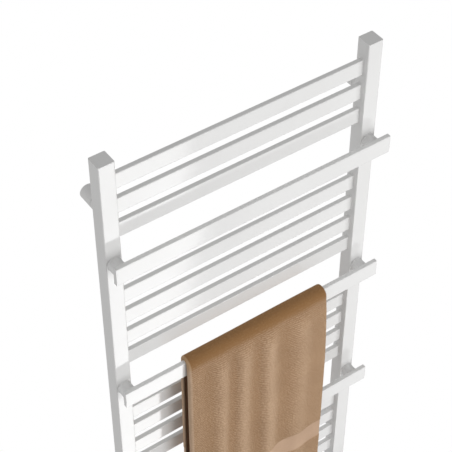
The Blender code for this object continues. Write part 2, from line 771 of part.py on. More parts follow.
def add_towel(row, finishes, carrier):
    """The towel as one folded slab: a rear drop, a rounded top over the rail and a front drop."""
    top = rail_middle(row) + RAIL_HEIGHT / 2 + FIT_GAP
    inner_front = RAIL_FRONT - FIT_GAP
    inner_rear = RAIL_BACK + FIT_GAP
    shape = bmesh.new()
    outline = [(inner_rear, top - TOWEL_REAR_DROP), (inner_rear, top), (inner_front, top)]
    outline.append((inner_front, top - TOWEL_FRONT_DROP))
    outline.append((inner_front - TOWEL_THICKNESS, top - TOWEL_FRONT_DROP))
    outline.extend(quarter_turn(inner_front, top, math.pi))
    outline.extend(quarter_turn(inner_rear, top, math.pi / 2))
    outline.append((inner_rear + TOWEL_THICKNESS, top - TOWEL_REAR_DROP))
    left_end = [shape.verts.new((-TOWEL_WIDTH / 2, y, z)) for y, z in outline]
    side = shape.faces.new(left_end)
    grown = bmesh.ops.extrude_face_region(shape, geom=[side])
    right_end = [item for item in grown["geom"] if isinstance(item, bmesh.types.BMVert)]
    bmesh.ops.translate(shape, vec=(TOWEL_WIDTH, 0.0, 0.0), verts=right_end)
    bmesh.ops.recalc_face_normals(shape, faces=shape.faces)
    carrier.location = (TOWEL_CENTRE, 0.0, 0.0)
    add_object("towel", shape, finishes["terry"], carrier)


def quarter_turn(y, z, start):
    """Points of the slab's outer corner about (y, z), from angle start through a quarter turn."""
    points = []
    steps = 2 * EDGE_SEGMENTS
    for step in range(steps + 1):
        angle = start - step * math.pi / 2 / steps
        points.append((y + TOWEL_THICKNESS * math.cos(angle), z + TOWEL_THICKNESS * math.sin(angle)))
    return points


def main():
    """Clears the scene and makes every node."""
    for obj in list(bpy.data.objects):
        bpy.data.objects.remove(obj, do_unlink=True)
    finishes = make_finishes()
    wall = add_empty("wall_frame")
    rack = add_empty("rack_frame", wall)
    for side in SIDES:
        post = add_collector(side, finishes, rack)
        if side == "left":
            open_vent_hole(post, rack)
        add_end_caps(side, finishes, rack)
    add_crossbars(finishes, rack)
    for level, row in zip(("upper", "middle", "lower"), rail_rows()):
        add_rail(level, row, finishes, rack)
    support_rows = {"upper": SUPPORT_INSET_ROWS, "lower": LAST_ROW - SUPPORT_INSET_ROWS}
    for level, row in support_rows.items():
        for side in SIDES:
            add_support(level, side, row_height(row), finishes, wall, rack)
    add_vent(finishes, rack, add_empty("vent_screw_axis", rack))
    add_blanking_plug(finishes, rack)
    add_heating_element(finishes, rack)
    add_case(finishes, rack)
    add_circuit_board(finishes, rack)
    add_dial(finishes, add_empty("dial_axis", rack))
    add_button(finishes, add_empty("button_axis", rack))
    add_lens(finishes, rack)
    add_cable_gland(finishes, rack)
    add_towel(rail_rows()[1], finishes, add_empty("towel_slide", rack))


main()
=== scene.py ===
"""A wall-hung towel warmer: two collectors, crossbars, hanger rails, a control head and a towel."""

import logging
import math
from dataclasses import dataclass, field
from enum import Enum
from typing import Any, Iterable, Optional, Union

import bmesh
import bpy
from mathutils import Euler, Matrix, Vector


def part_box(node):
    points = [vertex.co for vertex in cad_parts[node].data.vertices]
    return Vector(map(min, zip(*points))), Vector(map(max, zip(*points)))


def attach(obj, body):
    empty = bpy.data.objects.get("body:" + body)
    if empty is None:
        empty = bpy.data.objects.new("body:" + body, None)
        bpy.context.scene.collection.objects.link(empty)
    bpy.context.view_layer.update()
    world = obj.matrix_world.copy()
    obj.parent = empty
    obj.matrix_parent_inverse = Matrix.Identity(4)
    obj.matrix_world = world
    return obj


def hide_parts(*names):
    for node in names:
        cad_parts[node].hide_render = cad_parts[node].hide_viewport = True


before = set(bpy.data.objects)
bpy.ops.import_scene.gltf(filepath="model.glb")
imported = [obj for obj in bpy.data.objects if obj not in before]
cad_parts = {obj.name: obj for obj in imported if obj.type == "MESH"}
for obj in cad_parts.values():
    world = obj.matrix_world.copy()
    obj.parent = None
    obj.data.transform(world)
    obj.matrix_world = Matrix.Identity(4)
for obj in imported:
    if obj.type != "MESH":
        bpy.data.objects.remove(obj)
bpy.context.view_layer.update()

LOG = logging.getLogger("towel_warmer")
MM = 0.001
SHARP_EDGE = math.radians(32)
SIDES = {"left": -1, "right": 1}
LEVELS = ("upper", "middle", "lower")
JOINT_LINE = 0.05 * MM
CORNER = math.radians(40)

Shape = bmesh.types.BMesh
Colour = tuple[float, float, float]
Pair = tuple[float, float]
Value = Union["Signal", float]


class Body(str, Enum):
    """The moving bodies of the rack."""

    WALL = "wall_mounts"
    RACK = "rack"
    VENT_SCREW = "vent_screw"
    DIAL = "control_dial"
    BUTTON = "power_button"
    TOWEL = "towel"


class Slot(str, Enum):
    """The finishes that the record names."""

    ENAMEL = "enamel"
    STEEL = "steel"
    NICKEL = "nickel"
    CASE = "case"
    KEY = "key"
    BOARD = "board"
    LENS = "lens"
    TERRY = "terry"


class Facing(Enum):
    """Where the axis of a turned part points."""

    DOWN = (math.pi, 0.0, 0.0)
    ROOM = (math.pi / 2, 0.0, 0.0)


# Shader tools


class Signal:
    """A value that varies over a surface: one output of a shader tree, with Python's operators."""

    def __init__(self, shader: "Shader", socket: bpy.types.NodeSocket) -> None:
        """Wraps a socket of the shader's tree."""
        self.shader = shader
        self.socket = socket

    def math(self, operation: str, *values: Value) -> "Signal":
        """A Math node on the values given."""
        return self.shader.add("ShaderNodeMath", {"operation": operation}, dict(enumerate(values)))

    def __add__(self, other: Value) -> "Signal":
        """Self plus other."""
        return self.math("ADD", self, other)

    __radd__ = __add__

    def __sub__(self, other: Value) -> "Signal":
        """Self less other."""
        return self.math("SUBTRACT", self, other)

    def __rsub__(self, other: float) -> "Signal":
        """Other less self."""
        return self.math("SUBTRACT", other, self)

    def __mul__(self, other: Value) -> "Signal":
        """Self times other."""
        return self.math("MULTIPLY", self, other)

    __rmul__ = __mul__

    def __gt__(self, other: float) -> "Signal":
        """1 where self is above other, else 0."""
        return self.math("GREATER_THAN", self, other)

    def smooth(self, low: float, high: float) -> "Signal":
        """0 below low, 1 above high and a soft step between."""
        sockets = {"Value": self, "From Min": low, "From Max": high}
        return self.shader.add("ShaderNodeMapRange", {"interpolation_type": "SMOOTHSTEP"}, sockets)

    def wave(self, pitch: float) -> "Signal":
        """A sine of self, from 0 to 1, that repeats every pitch."""
        return self.math("SINE", self * (2 * math.pi / pitch)) * 0.5 + 0.5

    def within(self, low: float, high: float, edge: float) -> "Signal":
        """1 between low and high, and 0 outside, with soft edges."""
        return self.smooth(low, low + edge) * (1.0 - self.smooth(high - edge, high))


class Shader:
    """One material's node tree, built node by node."""

    def __init__(self, name: str) -> None:
        """Starts a material that holds a principled surface and its output."""
        self.material = bpy.data.materials.new(name)
        self.material.use_nodes = True
        self.tree = self.material.node_tree
        self.tree.nodes.clear()
        self.surface = self.tree.nodes.new("ShaderNodeBsdfPrincipled")
        target = self.tree.nodes.new("ShaderNodeOutputMaterial")
        self.tree.links.new(self.surface.outputs[0], target.inputs["Surface"])
        self.place = self.add("ShaderNodeTexCoord", {}, {}, "Object")

    def add(
        self, kind: str, settings: dict[str, Any], sockets: dict[Any, Any],
        output: Union[int, str] = 0,
    ) -> Signal:
        """Adds one node.

        Args:
            kind: the node's type.
            settings: its properties, set first. "ends" are a colour ramp's two colours.
            sockets: numbers, colours or signals for its inputs, by name or index.
            output: the output wanted, by name or index.

        Returns:
            The output as a signal.
        """
        node = self.tree.nodes.new(kind)
        for name, value in settings.items():
            if name == "ends":
                for element, colour in zip(node.color_ramp.elements, value):
                    element.color = (*colour, 1.0)
            else:
                setattr(node, name, value)
        for key, value in sockets.items():
            if isinstance(value, Signal):
                self.tree.links.new(value.socket, node.inputs[key])
            else:
                node.inputs[key].default_value = value
        return Signal(self, node.outputs[output])

    def fix(self, **values: Any) -> None:
        """Sets constants on the surface's own sockets, with _ for a space in their names."""
        for name, value in values.items():
            self.surface.inputs[name.replace("_", " ")].default_value = value

    def feed(self, socket: str, signal: Signal) -> None:
        """Links a signal to a socket of the principled surface."""
        self.tree.links.new(signal.socket, self.surface.inputs[socket])

    def mapped(self, **sockets: Colour) -> Signal:
        """The object's coordinates, with a Scale or a Rotation by axis."""
        return self.add("ShaderNodeMapping", {}, {"Vector": self.place, **sockets})

    def noise(self, scale: float, detail: float = 2.0, where: Optional[Signal] = None) -> Signal:
        """Soft noise from 0 to 1, with scale features in a metre."""
        sockets = {"Vector": where or self.place, "Scale": scale, "Detail": detail}
        return self.add("ShaderNodeTexNoise", {}, sockets)

    def vector(self, operation: str, *values: Any, output: str = "Vector") -> Signal:
        """A Vector Math node on the values given."""
        sockets = dict(enumerate(values))
        return self.add("ShaderNodeVectorMath", {"operation": operation}, sockets, output)

    def blend(self, factor: Signal, low: Colour, high: Colour) -> Signal:
        """A colour between low and high."""
        return self.add("ShaderNodeValToRGB", {"ends": (low, high)}, {"Fac": factor}, "Color")

    def tint(
        self, factor: Value, colour: Signal, other: Union[Signal, Colour], mode: str = "MIX"
    ) -> Signal:
        """A colour that goes from colour to other, in a blending mode, by a factor."""
        other = other if isinstance(other, Signal) else (*other, 1.0)
        settings = {"data_type": "RGBA", "blend_type": mode}
        return self.add("ShaderNodeMix", settings, {0: factor, 6: colour, 7: other}, 2)

    def finish(
        self, colour: Signal, roughness: Signal, height: Signal, depth: float, **fixed: Any
    ) -> bpy.types.Material:
        """Feeds the surface.

        Args:
            colour: its base colour.
            roughness: its roughness.
            height: its relief, from 0 to 1.
            depth: how deep the relief is, in metres.
            fixed: constants for its other sockets.

        Returns:
            The finished material.
        """
        self.feed("Base Color", colour)
        self.feed("Roughness", roughness)
        self.feed("Normal", self.add("ShaderNodeBump", {}, {"Height": height, "Distance": depth}))
        self.fix(**fixed)
        return self.material


# Finishes


@dataclass(frozen=True)
class Enamel:
    """Baked gloss enamel, with the faint orange peel of a sprayed coat."""

    name: str = "gloss_enamel"
    colour: Colour = (0.815, 0.812, 0.805)
    shade: Colour = (0.79, 0.786, 0.778)
    gloss: float = 0.065
    gloss_drift: float = 0.035
    peel_scale: float = 520.0
    peel_depth: float = 0.00002

    def build(self) -> bpy.types.Material:
        """Makes the material."""
        shader = Shader(self.name)
        drift = shader.noise(9.0, 3.0).smooth(0.3, 0.7)
        colour = shader.blend(drift, self.shade, self.colour)
        roughness = shader.noise(38.0, 4.0) * self.gloss_drift + self.gloss
        peel = shader.noise(self.peel_scale, 1.0)
        return shader.finish(colour, roughness, peel, self.peel_depth, IOR=1.5)


@dataclass(frozen=True)
class TurnedMetal:
    """Bare or plated metal with the fine lines that a tool leaves."""

    name: str
    colour: Colour
    shade: Colour
    roughness: float
    line_scale: float = 900.0
    line_depth: float = 0.00002

    def build(self) -> bpy.types.Material:
        """Makes the material."""
        shader = Shader(self.name)
        lines = shader.noise(self.line_scale, 3.0, shader.mapped(Scale=(0.06, 0.06, 1.0)))
        stain = shader.noise(160.0, 4.0).smooth(0.35, 0.75)
        colour = shader.blend(stain, self.colour, self.shade)
        roughness = lines * 0.16 + self.roughness
        return shader.finish(colour, roughness, lines, self.line_depth, Metallic=1.0)


@dataclass(frozen=True)
class MouldedPlastic:
    """Moulded plastic with a fine spark-eroded grain."""

    name: str
    colour: Colour
    shade: Colour
    roughness: float
    grain_scale: float = 2600.0
    grain_depth: float = 0.00004

    def build(self) -> bpy.types.Material:
        """Makes the material."""
        shader = Shader(self.name)
        flow = shader.noise(45.0, 3.0).smooth(0.3, 0.75)
        grain = shader.noise(self.grain_scale, 2.0)
        colour = shader.blend(flow, self.colour, self.shade)
        roughness = grain * 0.12 + self.roughness
        return shader.finish(colour, roughness, grain, self.grain_depth, IOR=1.49)


@dataclass(frozen=True)
class LampLens:
    """Clear amber plastic with moulded rings, over a lit lamp."""

    name: str = "amber_lens"
    colour: Colour = (0.85, 0.30, 0.06)
    core: Colour = (1.0, 0.62, 0.22)
    core_radius: float = 0.0018
    ring_pitch: float = 0.0006
    ring_depth: float = 0.00006

    def build(self) -> bpy.types.Material:
        """Makes the material."""
        shader = Shader(self.name)
        offset = shader.vector("SUBTRACT", shader.place, tuple(middle_of("indicator_lens")))
        flat = shader.vector("MULTIPLY", offset, (1.0, 0.0, 1.0))
        reach = shader.vector("LENGTH", flat, output="Value")
        colour = shader.blend(reach.smooth(0.0, self.core_radius), self.core, self.colour)
        rings = reach.wave(self.ring_pitch)
        shader.fix(Emission_Color=(1.0, 0.35, 0.08, 1.0), Emission_Strength=0.35)
        return shader.finish(colour, rings * 0.06 + 0.06, rings, self.ring_depth, IOR=1.49)


@dataclass(frozen=True)
class CircuitResist:
    """Green solder resist over copper tracks."""

    name: str = "solder_resist"
    resist: Colour = (0.02, 0.14, 0.06)
    track: Colour = (0.05, 0.26, 0.10)
    pitch: float = 0.0025
    track_depth: float = 0.00004

    def build(self) -> bpy.types.Material:
        """Makes the material."""
        shader = Shader(self.name)
        cells = {
            "Vector": shader.mapped(Rotation=(math.pi / 2, 0.0, 0.0)),
            "Scale": 1 / self.pitch, "Mortar Size": 0.06, "Brick Width": 3.0, "Row Height": 1.0,
        }
        tracks = shader.add("ShaderNodeTexBrick", {"offset": 0.37}, cells, "Fac")
        colour = shader.blend(tracks, self.resist, self.track)
        return shader.finish(colour, 0.42 - tracks * 0.14, tracks, self.track_depth)


@dataclass(frozen=True)
class Terry:
    """Looped cotton cloth, ribbed across, with a flat woven band above each hem.

    The cloth's own UV map holds metres across and along it. A vertex attribute carries painted
    light and shade of the folds: 1 on their crests, which are painted lighter, and 0 in their
    valleys, which are painted darker.
    """

    width: float
    length: float
    bands: tuple[Pair, ...]
    hem: float
    rim: float
    fold: float
    bend: float
    name: str = "tan_terry"
    crest: Colour = (0.625, 0.427, 0.280)
    # The hollow tone is painted shade: it darkens fold valleys and the pile between its loops.
    shaded_hollow: Colour = (0.305, 0.166, 0.073)
    woven: Colour = (0.588, 0.388, 0.272)
    # Lighter woven hems and side edges, partly a painted highlight where the edges catch light.
    selvedge_and_highlight: Colour = (0.640, 0.455, 0.320)
    # Painted shade: the inner layer's dark colour stands for the shadow between the two layers.
    inside: Colour = (0.120, 0.042, 0.010)
    # Painted shade on the top of the bend over the rail, where less light falls.
    shaded_top: Colour = (0.93, 0.87, 0.74)
    washed: Colour = (0.92, 0.91, 0.90)
    rib_pitch: float = 0.0052
    rib_drift: float = 0.0028
    loop_scale: float = 640.0
    weave_pitch: float = 0.0016
    stitch_pitch: float = 0.0032
    bend_reach: float = 0.034
    relief: float = 0.0010

    def build(self) -> bpy.types.Material:
        """Makes the material."""
        shader = Shader(self.name)
        cloth = shader.add("ShaderNodeUVMap", {"uv_map": "cloth"}, {})
        nap = shader.add("ShaderNodeAttribute", {"attribute_name": "nap"}, {}, "Fac")
        across = shader.add("ShaderNodeSeparateXYZ", {}, {0: cloth}, "X")
        along = shader.add("ShaderNodeSeparateXYZ", {}, {0: cloth}, "Y")
        band = self._either(along, self.bands, 0.0022)
        edge = self._edges(across, along)
        bend = along.within(self.bend - self.bend_reach, self.bend + self.bend_reach, 0.020)
        drift = shader.noise(16.0, 3.0, cloth)
        pile = self._pile(shader, cloth, along, bend)
        # Painted light and shade: fold crests lighter, fold valleys darker, mixed with the pile's
        # own light and dark.
        tone = (pile.smooth(0.16, 0.86) * 0.50 + nap * 0.40 + 0.10).smooth(0.0, 1.0)
        colour = shader.blend(tone, self.shaded_hollow, self.crest)
        colour = shader.tint(band * 0.86, colour, shader.blend(drift, self.woven, self.crest))
        # The woven edges are lighter, partly a painted highlight where they catch light.
        colour = shader.tint(edge * 0.62, colour, self.selvedge_and_highlight)
        # Painted shade: the inner layer, in shadow between the layers, is painted near black.
        shaded_inner_layer = across.smooth(self.fold - 0.002, self.fold + 0.004)
        colour = shader.tint(shaded_inner_layer * 0.94, colour, self.inside)
        # Random washed-out patches, and painted shade on the top of the bend over the rail.
        wear_and_shade = shader.blend(drift.smooth(0.3, 0.72), self.washed, (1.0, 1.0, 1.0))
        wear_and_shade = shader.tint(bend, wear_and_shade, self.shaded_top)
        colour = shader.tint(1.0, colour, wear_and_shade, "MULTIPLY")
        flat = (band + edge).smooth(0.0, 1.0)
        weave = across.wave(self.weave_pitch) * along.wave(self.weave_pitch)
        height = pile * (1.0 - flat) + weave * flat * 0.25 - self._stitches(across, along) * 0.5
        shader.fix(Sheen_Weight=0.22, Sheen_Roughness=0.55, Sheen_Tint=(0.85, 0.68, 0.5, 1.0))
        return shader.finish(colour, 0.96 - band * 0.16, height, self.relief, IOR=1.35)

    def _pile(self, shader: Shader, cloth: Signal, along: Signal, bend: Signal) -> Signal:
        """The pile's height, from 0 to 1: ribs and fluff, flatter on the bend, and loops."""
        place = {"Vector": cloth, "Scale": self.loop_scale}
        cells = shader.add("ShaderNodeTexVoronoi", {"feature": "SMOOTH_F1"}, place)
        loops = 1.0 - cells * 1.3
        fluff = shader.noise(300.0, 3.0, cloth).smooth(0.36, 0.64)
        ribs = (along + shader.noise(22.0, 2.0, cloth) * self.rib_drift).wave(self.rib_pitch)
        return ribs * (0.34 - bend * 0.28) + fluff * (0.36 - bend * 0.20) + loops * 0.30

    @staticmethod
    def _either(along: Signal, spans: Iterable[Pair], edge: float) -> Signal:
        """1 inside either of two spans along the cloth."""
        first, second = (along.within(low, high, edge) for low, high in spans)
        return first + second

    def _edges(self, across: Signal, along: Signal) -> Signal:
        """1 on the hems and side seams."""
        sides = 1.0 - across.within(self.rim, self.width - self.rim, 0.002)
        ends = 1.0 - along.within(self.hem, self.length - self.hem, 0.001)
        return sides.math("MAXIMUM", sides, ends)

    def _stitches(self, across: Signal, along: Signal) -> Signal:
        """1 in the stitches of both hems."""
        dashes = across.wave(self.stitch_pitch) > 0.32
        top = self.length - self.hem
        rows = ((self.hem - 0.0022, self.hem - 0.0008), (top + 0.0008, top + 0.0022))
        return self._either(along, rows, 0.0004) * dashes


# Shape tools


def middle_of(node: str) -> Vector:
    """The middle of a node's box."""
    low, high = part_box(node)
    return (low + high) / 2


def radius_of(node: str) -> float:
    """Half a node's width, which is the radius of a turned part."""
    low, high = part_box(node)
    return (high.x - low.x) / 2


def block(low: Vector, high: Vector) -> Shape:
    """A box between two corners."""
    shape = bmesh.new()
    matrix = Matrix.Translation((low + high) / 2) @ Matrix.Diagonal((*(high - low), 1))
    bmesh.ops.create_cube(shape, size=1.0, matrix=matrix)
    return shape


def bevel(shape: Shape, edges: Iterable[bmesh.types.BMEdge], width: float, segments: int) -> None:
    """Rounds the edges given to a width."""
    bmesh.ops.bevel(
        shape, geom=list(edges), offset=width, offset_type="OFFSET", affect="EDGES",
        segments=segments, profile=0.5, material=-1, clamp_overlap=True,
    )


def along_axis(shape: Shape, axis: int) -> list[bmesh.types.BMEdge]:
    """The edges that run along an axis."""
    found = []
    for edge in shape.edges:
        span = (edge.verts[1].co - edge.verts[0].co).normalized()
        if abs(span[axis]) > 0.99:
            found.append(edge)
    return found


def end_face(shape: Shape, axis: int, sign: int) -> bmesh.types.BMFace:
    """The flat face that ends a beam."""
    shape.normal_update()
    return max(shape.faces, key=lambda f: (round(sign * f.normal[axis], 3), f.calc_area()))


def beam(low: Vector, high: Vector, axis: int, edge: float) -> Shape:
    """A closed bar along an axis, with rounded long edges."""
    shape = block(low, high)
    bevel(shape, along_axis(shape, axis), edge, 4)
    return shape


def closing_plate(node: str, tube: str, axis: int, sign: int, edge: float, rim: float) -> Shape:
    """The plate that closes a tube's end.

    Args:
        node: the cap, whose spigot stays out of sight in the tube.
        tube: the tube that it closes.
        axis: the axis that the tube runs along.
        sign: -1 at the tube's low end and 1 at its high end.
        edge: the radius of the tube's long edges.
        rim: the radius of the plate's outer rim.

    Returns:
        The plate, from the tube's end to the cap's outer face.
    """
    low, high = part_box(node)
    tube_low, tube_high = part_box(tube)
    if sign > 0:
        low[axis] = tube_high[axis] + JOINT_LINE
    else:
        high[axis] = tube_low[axis] - JOINT_LINE
    plate = beam(low, high, axis, edge)
    bevel(plate, set(end_face(plate, axis, sign).edges), rim, 2)
    return plate


def flare(shape: Shape, axis: int, sign: int, middle: Vector, radius: float) -> None:
    """Grows the end of a bar into a concave fillet, like a weld bead under enamel."""
    face = end_face(shape, axis, sign)
    half = [max(abs(v.co[i] - middle[i]) for v in face.verts) for i in range(3)]
    grown = travelled = 0.0
    for share in (0.25, 0.5, 0.75, 1.0):
        angle = share * math.pi / 2
        wide, far = radius * (1 - math.cos(angle)), radius * math.sin(angle)
        face = bmesh.ops.extrude_discrete_faces(shape, faces=[face])["faces"][0]
        scale = Vector([(reach + wide) / (reach + grown) for reach in half])
        scale[axis] = 1.0
        shift = Vector((0.0, 0.0, 0.0))
        shift[axis] = sign * (far - travelled)
        verts = list(face.verts)
        bmesh.ops.scale(shape, vec=scale, space=Matrix.Translation(-middle), verts=verts)
        bmesh.ops.translate(shape, vec=shift, verts=verts)
        grown, travelled = wide, far


@dataclass(frozen=True)
class Flutes:
    """Grip flutes round a turned part, between two heights and outside a radius."""

    count: int
    depth: float
    low: float
    high: float
    inner: float

    def cut(self, vert: bmesh.types.BMVert) -> None:
        """Moves a point of the part in, where a flute is, before the part is set down."""
        reach = vert.co.xy
        if reach.length > self.inner and self.low < vert.co.z < self.high:
            wave = 0.5 - 0.5 * math.cos(self.count * math.atan2(reach.y, reach.x))
            vert.co.xy = reach - reach.normalized() * self.depth * wave


def turned(
    profile: list[Pair], facing: Facing, place: Vector, steps: int = 48,
    flutes: Optional[Flutes] = None,
) -> Shape:
    """A turned part.

    Args:
        profile: radius and height of each corner, in metres, from one end to the other.
        facing: where its axis points.
        place: where height 0 of its axis lies.
        steps: facets round the axis.
        flutes: the flutes cut into it.

    Returns:
        The closed shape, in place.
    """
    shape = bmesh.new()
    corners = [shape.verts.new((radius, 0.0, height)) for radius, height in profile]
    lines = [shape.edges.new(pair) for pair in zip(corners, corners[1:])]
    bmesh.ops.spin(
        shape, geom=corners + lines, cent=(0, 0, 0), axis=(0, 0, 1), dvec=(0, 0, 0),
        angle=2 * math.pi, steps=steps, use_merge=True,
    )
    bmesh.ops.remove_doubles(shape, verts=shape.verts, dist=1e-6)
    bmesh.ops.recalc_face_normals(shape, faces=shape.faces)
    for vert in shape.verts if flutes else ():
        flutes.cut(vert)
    turn = Euler(facing.value).to_matrix().to_4x4()
    bmesh.ops.transform(shape, matrix=Matrix.Translation(place) @ turn, verts=shape.verts)
    return shape


def copy_of(node: str) -> Shape:
    """A node's mesh with its seams merged and its flat faces whole again."""
    shape = bmesh.new()
    shape.from_mesh(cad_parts[node].data)
    bmesh.ops.remove_doubles(shape, verts=shape.verts, dist=2e-6)
    flat = math.radians(1.0)
    bmesh.ops.dissolve_limit(shape, angle_limit=flat, verts=shape.verts, edges=shape.edges)
    return shape


def rounded_copy(node: str, axis: int, width: float) -> Shape:
    """A turned node's mesh, with the rims of its largest radius rounded to a width."""
    shape = copy_of(node)
    centre, radius = middle_of(node), radius_of(node)
    others = [i for i in range(3) if i != axis]

    def on_rim(vert: bmesh.types.BMVert) -> bool:
        """Whether a point is as far from the axis as the rim."""
        reach = math.hypot(*(vert.co[i] - centre[i] for i in others))
        return abs(reach - radius) < 0.03 * MM

    edges = []
    for edge in shape.edges:
        ends = edge.verts
        level = abs(ends[0].co[axis] - ends[1].co[axis]) < 0.001 * MM
        if level and all(map(on_rim, ends)) and turns_by(edge) > CORNER:
            edges.append(edge)
    bevel(shape, edges, width, 2)
    return shape


def turns_by(edge: bmesh.types.BMEdge) -> float:
    """The angle between an edge's two faces, or 0 where it hasn't two."""
    return edge.calc_face_angle(0.0) if edge.is_manifold else 0.0


class Workshop:
    """Turns shapes into finished pieces and keeps count of them."""

    def __init__(self) -> None:
        """Starts with no finish made."""
        self.finishes: dict[Slot, bpy.types.Material] = {}
        self.made: list[str] = []

    def stock(self, finishes: dict[Slot, Any]) -> None:
        """Makes the material of every finish."""
        self.finishes = {slot: finish.build() for slot, finish in finishes.items()}

    def piece(
        self, name: str, shape: Shape, *nodes: str,
        slot: Slot = Slot.ENAMEL, body: Body = Body.RACK, even: bool = True,
    ) -> bpy.types.Object:
        """Finishes a shape as a piece.

        Args:
            name: the piece's name.
            shape: its mesh, in place. It is used up.
            nodes: the nodes it stands for.
            slot: the finish it gets.
            body: the body it moves with.
            even: whether normals are weighted by area, so that flat faces look flat to their edges.

        Returns:
            The piece's object.
        """
        mesh = bpy.data.meshes.new(name)
        shape.to_mesh(mesh)
        shape.free()
        mesh.polygons.foreach_set("use_smooth", [True] * len(mesh.polygons))
        mesh.set_sharp_from_angle(angle=SHARP_EDGE)
        obj = bpy.data.objects.new(name, mesh)
        bpy.context.scene.collection.objects.link(obj)
        if even:
            obj.modifiers.new("even", "WEIGHTED_NORMAL").keep_sharp = True
            self.settle(obj)
        self._paint(obj, slot)
        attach(obj, body.value)
        if nodes:
            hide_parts(*nodes)
        self.made.append(name)
        LOG.info("%-28s %6d faces on %s", name, len(obj.data.polygons), body.value)
        return obj

    @staticmethod
    def settle(obj: bpy.types.Object) -> None:
        """Replaces an object's mesh with what its modifiers make of it."""
        graph = bpy.context.evaluated_depsgraph_get()
        mesh = bpy.data.meshes.new_from_object(obj.evaluated_get(graph))
        obj.modifiers.clear()
        old, obj.data = obj.data, mesh
        mesh.name = obj.name
        bpy.data.meshes.remove(old)

    def dress(self, node: str, slot: Slot) -> None:
        """Gives a node that stays its finish."""
        self._paint(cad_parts[node], slot)
        LOG.info("%-28s stays as it is, in %s", node, slot.value)

    def _paint(self, obj: bpy.types.Object, slot: Slot) -> None:
        """Gives an object one finish and no other."""
        obj.data.materials.clear()
        obj.data.materials.append(self.finishes[slot])


# The rack


@dataclass
class Collector:
    """One of the two upright square tubes, closed by a cap at each end."""

    shop: Workshop
    side: str
    edge: float = 0.0021
    rim: float = 0.0004

    def build(self) -> None:
        """Makes the tube and both closing plates."""
        tube = f"{self.side}_collector"
        shape = beam(*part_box(tube), 2, self.edge)
        self.shop.piece(f"post_{self.side}", shape, tube)
        for end, sign in (("top", 1), ("foot", -1)):
            node = f"{self.side}_{end}_cap"
            plate = closing_plate(node, tube, 2, sign, self.edge, self.rim)
            self.shop.piece(f"post_{self.side}_{end}_plate", plate, node)


@dataclass
class CrossbarLadder:
    """The flat bars that join the collectors, each welded to both."""

    shop: Workshop
    count: int = 15
    edge: float = 0.0016
    weld: float = 0.0016

    def build(self) -> None:
        """Makes every bar with its weld fillets."""
        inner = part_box("left_collector")[1].x
        for number in range(1, self.count + 1):
            node = f"crossbar_{number:02d}"
            low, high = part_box(node)
            low.x = inner + self.weld
            high.x = -inner - self.weld
            bar = beam(low, high, 0, self.edge)
            for sign in (-1, 1):
                flare(bar, 0, sign, (low + high) / 2, self.weld)
            self.shop.piece(f"ladder_bar_{number:02d}", bar, node)


@dataclass
class HangerRail:
    """A flat rail in front of the collectors, on two round stand-offs, with a cap at each end."""

    shop: Workshop
    level: str
    edge: float = 0.0016
    rim: float = 0.0004
    weld: float = 0.0012

    def build(self) -> None:
        """Makes the rail, its caps and its stand-offs."""
        rail = f"hanger_rail_{self.level}"
        shape = beam(*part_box(rail), 0, self.edge)
        self.shop.piece(f"hanger_{self.level}", shape, rail)
        for side, sign in SIDES.items():
            node = f"rail_cap_{self.level}_{side}"
            name = f"hanger_{self.level}_end_{side}"
            plate = closing_plate(node, rail, 0, sign, self.edge, self.rim)
            self.shop.piece(name, plate, node)
            self._standoff(side)

    def _standoff(self, side: str) -> None:
        """Makes a stand-off, flared by a weld fillet at both ends."""
        node = f"spacer_{self.level}_{side}"
        low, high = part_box(node)
        radius = radius_of(node)
        length = high.y - low.y
        fillet = [math.radians(a) for a in (90, 67, 45, 22, 0)]
        start = [
            (radius + self.weld * (1 - math.cos(a)), self.weld * (1 - math.sin(a))) for a in fillet
        ]
        finish = [(wide, length - height) for wide, height in reversed(start)]
        place = middle_of(node)
        place.y = high.y
        shape = turned([(0.0, 0.0), *start, *finish, (0.0, length)], Facing.ROOM, place)
        name = f"hanger_{self.level}_standoff_{side}"
        self.shop.piece(name, shape, node)


@dataclass
class WallSupport:
    """A round support: a cup on the wall, the pin that slides in it, and the cup's grub screw."""

    shop: Workshop
    level: str
    side: str
    rim: float = 0.0006

    def build(self) -> None:
        """Makes the cup and the pin, and dresses the grub screw."""
        for part, body in (("cup", Body.WALL), ("pin", Body.RACK)):
            node = f"wall_{part}_{self.level}_{self.side}"
            name = f"support_{self.level}_{self.side}_{part}"
            self.shop.piece(name, rounded_copy(node, 1, self.rim), node, body=body)
        self.shop.dress(f"set_screw_{self.level}_{self.side}", Slot.STEEL)


@dataclass
class AirVent:
    """The bleed valve behind the left collector: a plated seat and the slotted screw in it."""

    shop: Workshop
    rim: float = 0.0003

    def build(self) -> None:
        """Makes the seat and the screw."""
        for node, name, body in (
            ("vent_body", "vent_seat", Body.RACK),
            ("vent_screw", "vent_spindle", Body.VENT_SCREW),
        ):
            shape = rounded_copy(node, 1, self.rim)
            self.shop.piece(name, shape, node, slot=Slot.NICKEL, body=body)


@dataclass
class FootFittings:
    """What is screwed into the collectors' feet: a plug, and on the right the heating element."""

    shop: Workshop
    rim: float = 0.0005

    def build(self) -> None:
        """Makes the plug and the element."""
        plug = rounded_copy("blanking_plug", 2, self.rim)
        self.shop.piece("foot_plug", plug, "blanking_plug", slot=Slot.NICKEL)
        element = copy_of("heating_element")
        self.shop.piece("immersion_element", element, "heating_element", slot=Slot.STEEL)


# The control head


